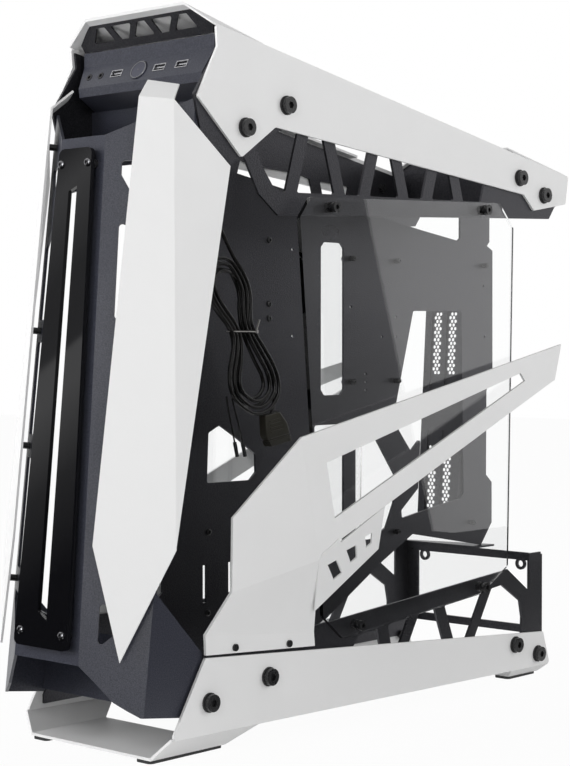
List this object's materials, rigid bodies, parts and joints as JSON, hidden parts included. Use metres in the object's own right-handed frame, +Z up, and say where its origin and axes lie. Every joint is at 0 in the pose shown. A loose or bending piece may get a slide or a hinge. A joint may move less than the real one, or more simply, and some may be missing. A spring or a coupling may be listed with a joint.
{
  "type": "open air computer test bench frame",
  "caption": "Open air computer frame of folded white and black sheet with clear side panels, truss sides, a front column with blades and a top panel of ports.",
  "frame": {"origin": "on the floor under the middle of the frame's overall box", "axes": "+Z up, the front with the column and the blades faces -Y, and +X is the side that carries the board's back"},
  "size_m": [0.236, 0.6642, 0.6515],
  "materials": {
    "white_coat": "satin white powder coat",
    "black_coat": "fine textured black powder coat",
    "slate_coat": "fine textured slate powder coat",
    "circuit_board": "circuit board",
    "port_metal": "plated port shells",
    "port_plastic": "black port bodies",
    "button_metal": "satin button cap",
    "black_rubber": "soft matt",
    "gloss_black": "polished dark front plate",
    "black_steel": "blackened socket screws",
    "bright_steel": "bright plated screws",
    "clear_glass": "clear tempered glass",
    "cable_jacket": "black cable sleeves",
    "tie_white": "light cable tie"
  },
  "bodies": {
    "frame": {"beam_right": "white_coat", "beam_left": "white_coat", "front_hood": "white_coat", "rear_bridge": "white_coat", "rear_panel": "black_coat", "hood_grille": "black_coat", "io_box": "slate_coat", "io_board": "circuit_board", "usb_ports": "port_metal", "audio_jacks": "port_plastic", "power_switch": "port_plastic", "top_cross_plate": "slate_coat", "upper_truss_right": "black_coat", "upper_truss_left": "black_coat", "lower_truss_right": "black_coat", "lower_truss_left": "black_coat", "base_frame": "white_coat", "rubber_feet": "black_rubber", "front_column": "slate_coat", "front_cross_plate": "slate_coat", "front_plate": "gloss_black", "front_plate_spacers": "black_steel", "front_plate_screws": "bright_steel", "blade_right": "white_coat", "blade_left": "white_coat", "blade_standoffs": "black_steel", "tray": "black_coat", "board_standoffs": "bright_steel", "tray_screws": "black_steel", "slot_bracket": "black_coat", "slot_covers": "black_coat", "supply_frame": "black_coat", "supply_thumb_screws": "black_steel", "rear_shelf": "black_coat", "sword_right": "white_coat", "sword_left": "white_coat", "sword_screws": "black_steel", "glass_right": "clear_glass", "glass_left": "clear_glass", "glass_spacers": "black_steel", "frame_bolts": "black_steel", "frame_washers": "black_rubber", "glass_bolts": "black_steel", "frame_nuts": "black_steel", "lead_hank": "cable_jacket", "lead_bundle": "cable_jacket", "lead_tie": "tie_white", "lead_plug": "port_plastic", "lead_tails": "cable_jacket", "pin_plugs": "port_plastic"},
    "power_button": {"power_button": "button_metal"}
  },
  "joints": [
    {"name": "power_button_press", "type": "slide", "parent": "frame", "child": "power_button", "axis": [0, 0.8831, -0.4692], "range_m": [0, 0.0012], "stiffness_N_per_m": 500, "springref_m": -0.001}
  ]
}
